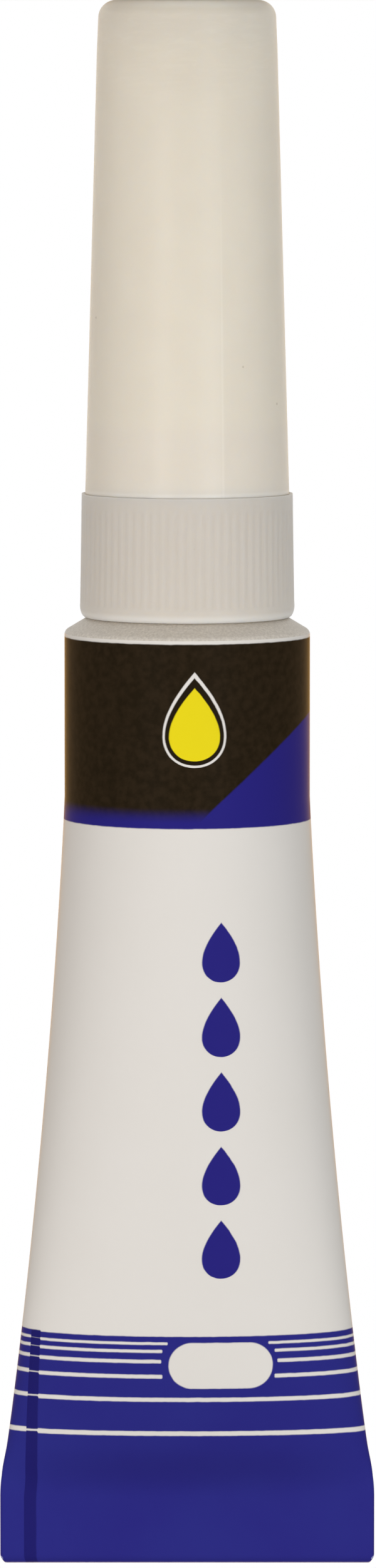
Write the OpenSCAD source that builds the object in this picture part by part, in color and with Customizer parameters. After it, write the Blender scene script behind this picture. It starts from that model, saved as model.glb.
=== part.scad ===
// Collapsible aluminium glue tube with a screwed-on nozzle and a long push-on cap.
// Lengths are in millimetres. Each piece is drawn with the tail edge on Z = 0 and the cap up. Then it is turned over
// about Y, because the tube stands on its cap: the cap's end lies on Z = 0 and the printed front faces -Y.

/* [Sleeve] */
// Outside diameter of the round end of the sleeve
tube_d = 12.7; // [11:0.1:16]
// Height of the shoulder's outer corner above the tail edge
rim_z = 48.9; // [42:0.1:70]
// Length of the stretch below the shoulder that is still round
round_l = 8.6; // [4:0.2:12]
// Wall of the drawn sleeve
wall = 0.12; // [0.1:0.01:0.2]
// Fullness of the belly: a higher power keeps the sleeve round for longer
belly_power = 1.4; // [1.1:0.1:2]

/* [Shoulder and neck] */
// Slope of the shoulder, in degrees from the horizontal
shoulder_angle = 31; // [15:1:40]
// Thickness of the shoulder
shoulder_t = 0.5; // [0.3:0.05:0.8]
// Radius of the rim where the sleeve turns into the shoulder
rim_r = 0.35; // [0.2:0.05:0.6]
// Outside diameter of the neck over its thread
neck_d = 7; // [6:0.1:8]
// Bore of the neck
neck_bore_d = 4.6; // [4:0.1:5]

/* [Tail] */
// How far the crimp draws the flattened tail in from half the girth
tail_draw = 0.16; // [0:0.02:0.4]
// Height of the folded edge
fold_h = 2.6; // [1.8:0.1:4]
// Height of the flat stretch above the folded edge
flat_h = 2; // [1:0.1:4]
// Space that the fold leaves between its layers
fold_gap = 0.03; // [0.02:0.01:0.08]
// Depth of the strip that the crimping jaw presses flat along the edge
edge_press = 0.05; // [0.03:0.01:0.08]
// Cut across the lower corners of the tail
corner_cut = 0.4; // [0.2:0.05:0.8]

/* [Sealant and glue] */
// Thickness of the sealant film between the flattened walls
film_t = 0.1; // [0.06:0.01:0.2]
// Height of the sealant bead in the root of the belly, above the flat stretch
bead_h = 1.6; // [0.8:0.1:3]
// Level of the glue above the tail edge
glue_level = 34; // [25:0.5:38]
// Space left between the filling and the sleeve
fill_gap = 0.02; // [0.01:0.01:0.05]

/* [Nozzle] */
// Diameter of the collar at its upper lip
collar_top_d = 10.9; // [10.4:0.1:12]
// Diameter of the collar at its lower lip
collar_low_d = 11.1; // [10.6:0.1:12]
// Height of the collar
collar_h = 6.4; // [5:0.1:9]
// Height of the plain lip above and below the ribs
lip_h = 0.5; // [0.3:0.05:0.8]
// Radius of the collar's edges
collar_round = 0.3; // [0.15:0.05:0.4]
// Number of grip ribs round the collar
rib_n = 72; // [48:1:96]
// Depth of the grooves between the ribs
rib_depth = 0.08; // [0.05:0.01:0.15]
// Thickness of the roof that closes the collar over the neck
roof_t = 1; // [0.7:0.1:1.6]
// Length of the sealing plug that reaches into the neck
plug_l = 1.8; // [1:0.1:2.5]
// Wall of the sealing plug
plug_wall = 0.6; // [0.4:0.05:0.8]
// Diameter of the spigot that carries the cap
spigot_d = 8.3; // [7.6:0.1:8.8]
// Height of the spigot
spigot_h = 3.4; // [2:0.1:5]
// Length of the spout above the collar
spout_l = 23.8; // [16:0.1:30]
// Diameter of the spout above the spigot
spout_base_d = 6.2; // [5:0.1:6.8]
// Diameter of the spout's tip
spout_tip_d = 2.1; // [1.9:0.1:2.6]
// Wall of the spout around its tapering channel
spout_wall = 0.9; // [0.7:0.05:1.2]
// Bore of the spout's tip
bore_d = 1; // [0.6:0.05:1.1]

/* [Cap] */
// Diameter of the cap at its open end
cap_low_d = 10.55; // [10.2:0.05:11.4]
// Diameter of the cap at its closed end, before the edge is rounded
cap_top_d = 9.15; // [8.6:0.05:10]
// Wall of the cap around the spout
cap_wall = 1; // [0.8:0.05:1.3]
// Thickness of the closed end
cap_top_t = 1.3; // [0.9:0.1:2]
// Radius of the closed end's edge
cap_round = 0.9; // [0.4:0.1:1.2]
// Length of the pin that stops the spout's bore
pin_l = 3.6; // [2:0.1:5]
// Depth of the ring that centres the spout's tip
ring_h = 1.2; // [0.6:0.1:2]
// Wall of the centring ring
ring_wall = 0.6; // [0.4:0.05:0.8]
// Diameter of the moulding gate's dimple
gate_d = 1.8; // [1.2:0.1:2.4]
// Depth of the moulding gate's dimple
gate_depth = 0.2; // [0.1:0.05:0.4]

/* [Fits] */
// Radial play of the nozzle on the neck
thread_gap = 0.05; // [0.03:0.01:0.1]
// Space between faces that seat on each other
seat_gap = 0.05; // [0.03:0.01:0.1]
// Radial play of the cap on the spigot
cap_gap = 0.03; // [0.02:0.01:0.06]
// Radial play of the plug in the neck, and of the pin in the bore
plug_gap = 0.04; // [0.02:0.01:0.06]
// Space between the spout's tip and the cap
tip_gap = 0.3; // [0.2:0.05:0.6]

/* [Hidden] */
$fn = 96;

// Facets of a lofted ring, rings of the belly, and points of a rounded edge
ring_n = 72;
belly_n = 14;
round_n = 6;
// Small overlap for cuts that run out of a solid
cut = 1;
// Share of the wall by which the belly thins from each side, and how far it reaches, inside the round end's wall
lap_share = 0.25;
lap_h = 0.3;

// Sleeve and tail
tube_r = tube_d / 2;
girth = PI * tube_d;
tail_w = PI / 2 * (tube_d - wall) - tail_draw;
strip_t = 2 * wall + film_t;
crimp_z = fold_h + flat_h;
round_z = rim_z - round_l;
belly_h = round_z - crimp_z;
bead_z = crimp_z + bead_h;

// Shoulder and neck: the cone runs up from the rim's corner
neck_r = neck_d / 2;
neck_bore_r = neck_bore_d / 2;
function shoulder_z(r) = rim_z + (tube_r - r) * tan(shoulder_angle);
shoulder_drop = shoulder_t / cos(shoulder_angle);

// Nozzle: the lower lip's foot rests just above the shoulder
collar_foot_r = collar_low_d / 2 - collar_round;
collar_z = shoulder_z(collar_foot_r) + seat_gap;
collar_top = collar_z + collar_h;
roof_z = collar_top - roof_t;
neck_top = roof_z - seat_gap;
socket_r = neck_r + thread_gap;
plug_r = neck_bore_r - plug_gap;
channel_r = plug_r - plug_wall;
spigot_r = spigot_d / 2;
spigot_top = collar_top + spigot_h;
spout_top = collar_top + spout_l;
bore_r = bore_d / 2;
tip_r = spout_tip_d / 2;
spout_base_r = spout_base_d / 2;
tip_round = (tip_r - bore_r) / 2;
// Height at which the spout's cone has the given radius
function spout_z(r) = spigot_top + (spout_top - spigot_top) * (spout_base_r - r) / (spout_base_r - tip_r);
// Where the tapering channel starts and where it reaches the tip's bore, one wall inside the cone
taper_z = spout_z(channel_r + spout_wall) < spigot_top ? spigot_top : spout_z(channel_r + spout_wall);
bore_z = spout_z(bore_r + spout_wall);

// Cap
cap_z = collar_top + seat_gap;
ceiling_z = spout_top + tip_gap;
cap_top = ceiling_z + cap_top_t;
cap_bore_r = spigot_r + cap_gap;
cap_bore_top = spigot_top + tip_gap;
cap_lead = 0.2;
pin_r = bore_r - plug_gap;
ring_r = tip_r + tip_gap / 2;
gate_nub_d = gate_d / 3;
function cap_r(z) = (cap_low_d + (cap_top_d - cap_low_d) * (z - cap_z) / (cap_top - cap_z)) / 2;

// Points of an arc about (x, y), from angle a to angle b
function arc(x, y, r, a, b) =
    [for (i = [0 : round_n]) let (t = a + (b - a) * i / round_n) [x + r * cos(t), y + r * sin(t)]];

// Perimeter of an ellipse, and the half width that gives an ellipse of half depth b the perimeter p
function perimeter(a, b) = PI * (3 * (a + b) - sqrt((3 * a + b) * (a + 3 * b)));
function half_width(b, p, low, high, steps = 44) =
    let (mid = (low + high) / 2)
    steps == 0 ? mid
    : perimeter(mid, b) < p ? half_width(b, p, mid, high, steps - 1)
    : half_width(b, p, low, mid, steps - 1);

// How far down the belly height z lies: 0 at the round end, 1 at the crimp
function belly_s(z) = min(1, max(0, (round_z - z) / belly_h));

// Half depth of the sleeve at height z, from round at the shoulder to flat at the crimp
function belly_b(z) = strip_t / 2 + (tube_r - strip_t / 2) * sqrt(1 - pow(belly_s(z), belly_power));

// Half width there: the girth stays, less what the crimp draws in
function belly_a(z) =
    let (drawn = perimeter(tail_w / 2, strip_t / 2) - girth)
    half_width(belly_b(z), girth + drawn * pow(belly_s(z), 3), tube_r / 2, girth / 3);

// How far a ring of the wall at height z has squared up, which it does as it flattens into the strip
function belly_square(z) = belly_s(z) * pow(strip_t / 2 / belly_b(z), 2);

// One ring of the belly at height z, drawn in by an inset: an ellipse, or partly its box
function belly_ring(z, inset, square = 0) =
    let (
        a = belly_a(z) - inset,
        b = belly_b(z) - inset,
        step = 360 / ring_n)
    [for (i = [0 : ring_n - 1])
        let (
            c = cos(i * step),
            s = sin(i * step),
            box_x = max(-1, min(1, c / cos(step))),
            box_y = i % (ring_n / 2) == 0 ? 0 : sign(s))
        [a * (c + (box_x - c) * square), b * (s + (box_y - s) * square), z]];

// How far the wall thins from each side where it laps into the round end
function belly_lap(z) = wall * lap_share * pow(1 - belly_s(z), 4);

// Heights of the wall's rings, closer together towards the crimp; the last one laps into the round end
belly_levels = concat([for (i = [0 : belly_n]) crimp_z + belly_h * pow(i / belly_n, 2)], [round_z + lap_h]);

// Ring of a filling at any height, on the straight lines between the wall's rings
function fill_ring(z, inset) =
    let (
        k = max([for (i = [0 : belly_n]) if (belly_levels[i] <= z) i]),
        t = (z - belly_levels[k]) / (belly_levels[k + 1] - belly_levels[k]))
    belly_ring(belly_levels[k], inset) * (1 - t) + belly_ring(belly_levels[k + 1], inset) * t;

// Triangles between two neighbouring rings of points, and across a ring as a flat end
function band_faces(from, to) =
    [for (i = [0 : ring_n - 1])
        let (j = (i + 1) % ring_n)
        each [[from + i, to + j, from + j], [from + i, to + i, to + j]]];
function fan_faces(from) = [[for (i = [0 : ring_n - 1]) from + i]];
function fan_faces_back(from) = [[for (i = [ring_n - 1 : -1 : 0]) from + i]];

// Solid that fills the belly between two levels
module belly_fill(low, high, inset) {
    levels = concat([low], [for (z = belly_levels) if (z > low && z < high) z], [high]);
    n = len(levels) - 1;
    polyhedron(
        points = [for (z = levels) each fill_ring(z, inset)],
        faces = concat(
            [for (k = [0 : n - 1]) each band_faces(k * ring_n, (k + 1) * ring_n)],
            fan_faces(0),
            fan_faces_back(n * ring_n)));
}

// Wall of the belly, open at both ends: outer rings first, then the inner ones
module belly_wall() {
    last = len(belly_levels) - 1;
    inner = len(belly_levels) * ring_n;
    polyhedron(
        points = concat(
            [for (z = belly_levels) each belly_ring(z, belly_lap(z), belly_square(z))],
            [for (z = belly_levels) each belly_ring(z, wall - belly_lap(z), belly_square(z))]),
        faces = concat(
            [for (k = [0 : last - 1]) each band_faces(k * ring_n, (k + 1) * ring_n)],
            [for (k = [0 : last - 1]) each band_faces(inner + (k + 1) * ring_n, inner + k * ring_n)],
            band_faces(last * ring_n, inner + last * ring_n),
            band_faces(inner, 0)));
}

// Round end of the sleeve, the shoulder and the neck, turned in one piece
module shoulder_and_neck() {
    inner_r = tube_r - wall;
    rim_turn = 90 - shoulder_angle;
    rim_low = rim_z - rim_r * tan(rim_turn / 2);
    rotate_extrude()
        polygon(concat(
            [[inner_r, round_z], [tube_r, round_z]],
            arc(tube_r - rim_r, rim_low, rim_r, 0, rim_turn),
            [[neck_r, shoulder_z(neck_r)],
             [neck_r, neck_top],
             [neck_bore_r, neck_top],
             [neck_bore_r, shoulder_z(neck_bore_r) - shoulder_drop],
             [inner_r, shoulder_z(inner_r) - shoulder_drop]]));
}

// Section of the folded tail: the flat strip turns up behind itself, and its end turns down inside the fold
module fold_section() {
    half = strip_t / 2;
    pitch = strip_t + fold_gap;
    turn_z = pitch + half - edge_press;
    back_y = 2 * pitch;
    hook_z = fold_h - pitch / 2 - half;
    end_z = turn_z + half;
    polygon(concat(
        [[-half, crimp_z]],
        arc(pitch, turn_z, pitch + half, 180, 360),
        arc(1.5 * pitch, hook_z, pitch / 2 + half, 0, 180),
        [[pitch - half, end_z], [pitch + half, end_z]],
        arc(1.5 * pitch, hook_z, fold_gap / 2, 180, 0),
        arc(pitch, turn_z, pitch - half, 360, 180),
        [[half, crimp_z]]));
}

// Flattened and folded tail with its clipped corners and the slot that the sealant fills
module tail_fold() {
    slot_w = tail_w - 2 * wall;
    difference() {
        rotate([90, 0, 90])
            linear_extrude(tail_w, center = true)
                fold_section();
        translate([-tail_w / 2, -cut * 2, -cut])
            cube([tail_w, cut * 4, cut]);
        for (side = [-1, 1])
            translate([side * tail_w / 2, 0, 0])
                rotate([0, 45, 0])
                    cube([corner_cut * sqrt(2), cut * 4, corner_cut * sqrt(2)], center = true);
        translate([-slot_w / 2, -film_t / 2, fold_h])
            cube([slot_w, film_t, flat_h + cut]);
    }
}

module tube() {
    color("#dcd8d2") {
        belly_wall();
        shoulder_and_neck();
        tail_fold();
    }
}

// Sealant: the film between the flattened walls and the bead above it
module tail_sealant() {
    film_w = tail_w - 2 * wall - 4 * film_t;
    film = film_t - 2 * fill_gap;
    color("#c9a66b") {
        belly_fill(crimp_z, bead_z, wall + fill_gap);
        translate([-film_w / 2, -film / 2, fold_h + fill_gap])
            cube([film_w, film, flat_h - fill_gap]);
    }
}

module glue() {
    color("#d8dcd0")
        belly_fill(bead_z + fill_gap, glue_level, wall + fill_gap);
}

// Outer form of the nozzle: collar with plain lips, spigot and spout
module nozzle_form() {
    top_r = collar_top_d / 2;
    low_r = collar_low_d / 2;
    core_r = min(top_r, low_r) - rib_depth - collar_round;
    rotate_extrude()
        polygon(concat(
            [[0, collar_z]],
            arc(low_r - collar_round, collar_z + collar_round, collar_round, -90, 0),
            [[low_r, collar_z + lip_h],
             [core_r, collar_z + lip_h],
             [core_r, collar_top - lip_h],
             [top_r, collar_top - lip_h]],
            arc(top_r - collar_round, collar_top - collar_round, collar_round, 0, 90),
            [[spigot_r, collar_top],
             [spigot_r, spigot_top - cap_lead],
             [spigot_r - cap_lead, spigot_top],
             [spout_base_r, spigot_top]],
            arc(tip_r - tip_round, spout_top - tip_round, tip_round, 0, 90),
            [[0, spout_top]]));
}

// Grip ribs between the collar's lips
module grip_ribs() {
    crest_r = (collar_top_d + collar_low_d) / 4 - collar_round / 10;
    root_r = crest_r - rib_depth;
    step = 360 / rib_n;
    corners = [[crest_r, -0.25], [crest_r, 0.25], [root_r, 0.35], [root_r, 0.65]];
    translate([0, 0, collar_z + lip_h])
        linear_extrude(collar_h - 2 * lip_h)
            polygon([for (i = [0 : rib_n - 1])
                for (c = corners)
                    [c[0] * cos((i + c[1]) * step), c[0] * sin((i + c[1]) * step)]]);
}

// Inside of the nozzle: cone over the shoulder, socket for the neck, plug and channel
module nozzle_void() {
    rotate_extrude()
        polygon([
            [0, collar_z - cut],
            [collar_foot_r + cut / tan(shoulder_angle), collar_z - cut],
            [socket_r, shoulder_z(socket_r) + seat_gap],
            [socket_r, roof_z],
            [plug_r, roof_z],
            [plug_r, roof_z - plug_l],
            [channel_r, roof_z - plug_l],
            [channel_r, taper_z],
            [bore_r, bore_z],
            [bore_r, spout_top + cut],
            [0, spout_top + cut]]);
}

module nozzle() {
    color("#d2ccc4")
        difference() {
            union() {
                nozzle_form();
                grip_ribs();
            }
            nozzle_void();
        }
}

// Long cap with the bore for the spigot, the ring for the spout's tip, the stopping pin and the gate dimple
module cap() {
    edge_lean = atan((cap_low_d - cap_top_d) / 2 / (cap_top - cap_z));
    pin_top = ceiling_z - pin_l;
    color("#e0d8c8")
        difference() {
            rotate_extrude()
                polygon(concat(
                    [[cap_bore_r + cap_lead, cap_z], [cap_r(cap_z), cap_z]],
                    arc(cap_top_d / 2 - cap_round, cap_top - cap_round, cap_round, edge_lean, 90),
                    [[0, cap_top],
                     [0, pin_top],
                     [pin_r / 2, pin_top],
                     [pin_r, pin_top + pin_r],
                     [pin_r, ceiling_z],
                     [ring_r, ceiling_z],
                     [ring_r, ceiling_z - ring_h],
                     [ring_r + ring_wall, ceiling_z - ring_h],
                     [ring_r + ring_wall, ceiling_z],
                     [cap_r(ceiling_z) - cap_wall, ceiling_z],
                     [cap_r(cap_bore_top) - cap_wall, cap_bore_top],
                     [cap_bore_r, cap_bore_top],
                     [cap_bore_r, cap_z + cap_lead]]));
            translate([0, 0, cap_top - gate_depth])
                difference() {
                    cylinder(d = gate_d, h = gate_depth + cut);
                    translate([0, 0, -cut])
                        cylinder(d = gate_nub_d, h = gate_depth / 2 + cut);
                }
        }
}

// Turns the part over, so that it stands on its cap
module on_its_cap() {
    translate([0, 0, cap_top])
        rotate([0, 180, 0])
            children();
}

on_its_cap() tube();
on_its_cap() tail_sealant();
on_its_cap() glue();
on_its_cap() nozzle();
on_its_cap() cap();
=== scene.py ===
import math
import bpy
import bmesh
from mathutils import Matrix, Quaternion, Vector


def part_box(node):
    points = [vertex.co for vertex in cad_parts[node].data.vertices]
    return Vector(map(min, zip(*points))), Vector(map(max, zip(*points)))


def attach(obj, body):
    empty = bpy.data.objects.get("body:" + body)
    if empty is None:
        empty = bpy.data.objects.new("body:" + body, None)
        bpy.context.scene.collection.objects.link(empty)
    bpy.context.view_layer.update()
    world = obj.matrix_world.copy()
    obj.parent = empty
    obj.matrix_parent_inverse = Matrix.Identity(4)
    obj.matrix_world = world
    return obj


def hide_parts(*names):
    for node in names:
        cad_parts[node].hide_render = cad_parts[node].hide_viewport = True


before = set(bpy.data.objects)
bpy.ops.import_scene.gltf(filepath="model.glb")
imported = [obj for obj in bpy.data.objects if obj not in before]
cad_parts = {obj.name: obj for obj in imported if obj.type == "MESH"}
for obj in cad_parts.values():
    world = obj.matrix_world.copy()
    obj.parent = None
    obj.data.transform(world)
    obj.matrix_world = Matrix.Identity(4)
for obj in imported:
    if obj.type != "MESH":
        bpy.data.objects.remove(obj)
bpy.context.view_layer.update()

# The tube stands on its cap with the tail up and the printed front towards -Y. The photo shows it the
# other way up, so the camera is rolled over. Lengths are in millimetres and heights are above the table.
MM = 0.001

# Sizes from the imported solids; the tail is trimmed a little, and the cap's rim goes into the collar's seat
TAIL_TRIM = 0.04
RIM_RAISE = 0.075
cap_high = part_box("cap")[1] / MM
nozzle_low, nozzle_high = [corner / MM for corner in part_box("nozzle")]
tube_low, tube_high = [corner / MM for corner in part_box("tube")]
LENGTH = tube_high.z
SLEEVE_R = -tube_low.y
TAIL_HALF = tube_high.x - TAIL_TRIM
NECK_END = tube_low.z
CAP_RIM = cap_high.z + RIM_RAISE
CAP_RIM_R = cap_high.x
SPOUT_TIP = nozzle_low.z
COLLAR_FOOT = nozzle_high.z
COLLAR_FOOT_R = nozzle_high.x

# Sleeve: the rim, where the flattening starts and ends, and the wall
RIM = LENGTH - 48.9
ROUND_END = LENGTH - 40.3
CRIMP = LENGTH - 4.6
FLAT_START = LENGTH - 3.5
BELLY_POWER = 1.4
LENS_WIDEN = 0.013
SOFT_CLOSE = 0.95
LEAST_EASE = 0.01
BISECTIONS = 44
WALL = 0.12
GIRTH = 2 * math.pi * SLEEVE_R
SLEEVE_RINGS = 6
BELLY_RINGS = 52
INSIDE_STEP = 3

# Tail: two walls with the sealant between them, folded over twice towards the back
STRIP_HALF = 0.17
FOLD_PITCH = 0.37
FOLD_TURN = LENGTH - 0.49
FOLD_FOOT = LENGTH - 2.245
FOLD_END = LENGTH - 0.66
CORNER_ROUND = 0.2
STRIP_RINGS = 4
TURN_RINGS = 12
FOOT_RINGS = 8
FLAP_RINGS = 2

# Shoulder and neck
SHOULDER_LEAN = math.radians(31)
SHOULDER_T = 0.5
SHOULDER_RINGS = (4.4, 5.3)
RIM_ROUND = 0.35
RIM_RINGS = 8
NECK_R = 3.5
NECK_BORE_R = 2.3
NECK_CHAMFER = 0.15
NECK_BORE_CHAMFER = 0.1
NECK_RINGS = 36
THREAD_PITCH = 1.27
THREAD_DEPTH = 0.22
THREAD_EASE = 0.6

# Nozzle
COLLAR_H = 6.4
COLLAR_TOP_R = 5.45
COLLAR_ROUND = 0.3
FOOT_STRETCH = 2
TOP_ROUND = 0.01
SEAT_DEPTH = 0.03
SEAT_SPARE = 0.02
LIP_H = 0.75
RIB_COUNT = 72
RIB_DEPTH = 0.028
RIB_FADE = 0.08
SPIGOT_R = 4.15
SPIGOT_H = 3.4
SPIGOT_FILLET = 0.1
SPIGOT_CHAMFER = 0.2
SPOUT_FILLET = 0.3
SPOUT_WALL = 0.9
SPOUT_BASE_R = 3.1
SPOUT_TIP_R = 1.05
SPOUT_BORE_R = 0.5
CHANNEL_R = 1.66
PLUG_R = 2.26
PLUG_CHAMFER = 0.1
SOCKET_R = 3.55
ROOF_T = 1
PLUG_L = 1.8

# Cap
CAP_END_R = 4.575
CAP_END_T = 1.3
CAP_ROUND = 0.9
CAP_WALL = 1
CAP_WALL_RINGS = (25, 20, 15, 10, 5, 2.5)
CAP_BORE_R = 4.18
CAP_BORE_SPARE = 0.25
CAP_BORE_STEP = 0.05
CAP_BORE_CHAMFER = 0.2
CAP_LIP = 0.01
PIN_R = 0.46
PIN_L = 3.6
RING_R = 1.2
RING_WALL = 0.6
RING_H = 1.2
GATE_R = 0.9
GATE_DEPTH = 0.2
GATE_EDGE = 0.05

# Marks of the cap's mould: where its halves met, with half widths as sines, and where the plastic flowed.
# Their pale colour is partly painted highlight: the pale parting line also stands for a thin streak of
# reflected light, and the pale flow streaks for glints of light near the closed end.
PARTING_TURN = math.radians(-110.6)
PARTING_RISE = 0.012
PARTING_START = 8
PARTING_END = 25.2
PARTING_REACH = 0.1
PARTING_HIGHLIGHT_HALF = 0.01
PARTING_HIGHLIGHT_SOFT = 0.006
FLOW_HIGHLIGHT_FULL = 2.5
FLOW_HIGHLIGHT_END = 7
FLOW_HIGHLIGHT_SHARE = 0.6

# Sides of the turned pieces, where the nozzle has four to a rib, and the angles from which edges stay sharp
SLEEVE_SIDES = 192
CAP_SIDES = 192
NOZZLE_SIDES = 4 * RIB_COUNT
CAP_SHARP = 35
NOZZLE_SHARP = 28
TUBE_SHARP = 50


def arc(radius, height, size, start, stop, steps=6):
    """Points (radius, height) of a rounded edge about a centre, between two angles in degrees."""
    angles = [math.radians(start + (stop - start) * i / steps) for i in range(steps + 1)]
    return [(radius + size * math.cos(a), height + size * math.sin(a)) for a in angles]


def first_ring(name, sides, radius, height, fill):
    """Adds a circle at its size and place and opens it for modelling."""
    bpy.ops.object.select_all(action="DESELECT")
    bpy.ops.mesh.primitive_circle_add(
        vertices=sides, radius=radius * MM, fill_type=fill, location=(0, 0, height * MM))
    piece = bpy.context.active_object
    piece.name = name
    piece.data.name = name
    bpy.ops.object.transform_apply(location=True, rotation=True, scale=True)
    bpy.ops.object.mode_set(mode="EDIT")
    bpy.ops.mesh.select_all(action="SELECT")
    return piece


def next_ring(rise, wider, deeper, height):
    """Extrudes the open ring by a rise and resizes it about the axis."""
    bpy.ops.mesh.extrude_region_move(TRANSFORM_OT_translate={"value": (0, 0, rise * MM)})
    bpy.ops.transform.resize(value=(wider, deeper, 1), center_override=(0, 0, height * MM))


def turn_piece(name, profile, sides, fill):
    """Models a turned piece by extruding a ring along its profile of (radius, height) points."""
    piece = first_ring(name, sides, *profile[0], fill)
    for (r0, h0), (r1, h1) in zip(profile, profile[1:]):
        next_ring(h1 - h0, r1 / r0, r1 / r0, h1)
    return piece


def close_piece(piece, sharp):
    """Turns the faces outwards, leaves edit mode and smooths all but the sharp edges."""
    bpy.ops.mesh.select_all(action="SELECT")
    bpy.ops.mesh.normals_make_consistent(inside=False)
    bpy.ops.object.mode_set(mode="OBJECT")
    bpy.ops.object.shade_smooth_by_angle(angle=math.radians(sharp))
    return piece


def cap_radius(height):
    """Outer radius of the cap's tapered wall at a height."""
    return CAP_END_R + (CAP_RIM_R - CAP_END_R) * height / CAP_RIM


def model_cap():
    """Cap, turned from the stopping pin's tip, over the inside, the rim and the wall, to the gate mark."""
    pin_tip = CAP_END_T + PIN_L
    ring_top = CAP_END_T + RING_H
    bore_start = CAP_RIM - SPIGOT_H - CAP_BORE_SPARE
    lean = math.degrees(math.atan((CAP_RIM_R - CAP_END_R) / CAP_RIM))
    profile = [
        (PIN_R / 2, pin_tip), (PIN_R, pin_tip - PIN_R), (PIN_R, CAP_END_T), (RING_R, CAP_END_T),
        (RING_R, ring_top), (RING_R + RING_WALL, ring_top), (RING_R + RING_WALL, CAP_END_T),
        (cap_radius(CAP_END_T) - CAP_WALL, CAP_END_T),
        (cap_radius(bore_start) - CAP_WALL, bore_start),
        (CAP_BORE_R, bore_start + CAP_BORE_STEP), (CAP_BORE_R, CAP_RIM - CAP_BORE_CHAMFER),
        (CAP_BORE_R + CAP_BORE_CHAMFER, CAP_RIM)]
    profile += arc(CAP_RIM_R - CAP_LIP, CAP_RIM - CAP_LIP, CAP_LIP, 90, -lean)
    profile += [(cap_radius(h), h) for h in CAP_WALL_RINGS]
    profile += arc(CAP_END_R - CAP_ROUND, CAP_ROUND, CAP_ROUND, -lean, -90, steps=10)
    profile += [
        (GATE_R + GATE_EDGE, 0), (GATE_R, GATE_EDGE), (GATE_R - GATE_EDGE, GATE_DEPTH),
        (GATE_R / 3, GATE_DEPTH), (GATE_R / 4, GATE_DEPTH / 2)]
    cap = turn_piece("push_on_cap", profile, CAP_SIDES, "NGON")
    raise_parting_line(cap)
    return close_piece(cap, CAP_SHARP)


def raise_parting_line(cap):
    """Raises the fine ridges down the wall where the two halves of the mould met."""
    shape = bmesh.from_edit_mesh(cap.data)
    for edge in shape.edges:
        edge.select_set(False)
    for vert in shape.verts:
        height = vert.co.z / MM
        radius = math.hypot(vert.co.x, vert.co.y) / MM
        on_wall = PARTING_START < height < PARTING_END and radius > cap_radius(height) - PARTING_REACH
        off = math.sin(math.atan2(vert.co.y, vert.co.x) - PARTING_TURN)
        vert.select_set(on_wall and abs(off) < math.pi / CAP_SIDES)
    bmesh.update_edit_mesh(cap.data)
    share = 1 + PARTING_RISE / CAP_RIM_R
    bpy.ops.transform.resize(value=(share, share, 1), center_override=(0, 0, 0))


def model_nozzle():
    """Nozzle, a closed loop from its foot over the collar, spigot and spout and back by the channel."""
    collar_top = COLLAR_FOOT - COLLAR_H
    seat = collar_top + SEAT_DEPTH
    spigot_end = collar_top - SPIGOT_H
    foot_r = COLLAR_FOOT_R - COLLAR_ROUND
    roof = collar_top + ROOF_T
    rib_low = COLLAR_FOOT - LIP_H
    rib_high = collar_top + LIP_H
    rib_rise = (COLLAR_FOOT_R - COLLAR_TOP_R) / COLLAR_H
    tip_round = (SPOUT_TIP_R - SPOUT_BORE_R) / 2
    spout_slope = (SPOUT_BASE_R - SPOUT_TIP_R) / (spigot_end - SPOUT_TIP)
    channel_end = SPOUT_TIP + (CHANNEL_R + SPOUT_WALL - SPOUT_TIP_R) / spout_slope
    bore_end = SPOUT_TIP + (SPOUT_BORE_R + SPOUT_WALL - SPOUT_TIP_R) / spout_slope
    collar_side = [(COLLAR_TOP_R + rib_rise * (h - collar_top), h) for h in (
        rib_low, rib_low - RIB_FADE, (rib_low + rib_high) / 2, rib_high + RIB_FADE, rib_high)]
    profile = [(r, COLLAR_FOOT - FOOT_STRETCH * (COLLAR_FOOT - h))
               for r, h in arc(foot_r, COLLAR_FOOT - COLLAR_ROUND, COLLAR_ROUND, 90, 0)]
    profile += collar_side
    profile += arc(COLLAR_TOP_R - TOP_ROUND, collar_top + TOP_ROUND, TOP_ROUND, 0, -90)
    profile += [
        (CAP_RIM_R + SEAT_SPARE, seat), (SPIGOT_R + SPIGOT_FILLET, seat),
        (SPIGOT_R, collar_top - SPIGOT_FILLET), (SPIGOT_R, spigot_end + SPIGOT_CHAMFER),
        (SPIGOT_R - SPIGOT_CHAMFER, spigot_end), (SPOUT_BASE_R + SPOUT_FILLET, spigot_end),
        (SPOUT_BASE_R, spigot_end - SPOUT_FILLET)]
    profile += arc(SPOUT_TIP_R - tip_round, SPOUT_TIP + tip_round, tip_round, 0, -180, steps=8)
    profile += [
        (SPOUT_BORE_R, bore_end), (CHANNEL_R, channel_end), (CHANNEL_R, roof + PLUG_L),
        (PLUG_R - PLUG_CHAMFER, roof + PLUG_L), (PLUG_R, roof + PLUG_L - PLUG_CHAMFER),
        (PLUG_R, roof), (SOCKET_R, roof),
        (SOCKET_R, COLLAR_FOOT - (foot_r - SOCKET_R) * math.tan(SHOULDER_LEAN))]
    nozzle = turn_piece("ribbed_nozzle", profile, NOZZLE_SIDES, "NOTHING")
    bpy.ops.mesh.select_all(action="DESELECT")
    bpy.ops.mesh.select_non_manifold(extend=False)
    bpy.ops.mesh.bridge_edge_loops()
    press_ribs(nozzle, rib_high + RIB_FADE / 2, rib_low - RIB_FADE / 2)
    return close_piece(nozzle, NOZZLE_SHARP)


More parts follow.
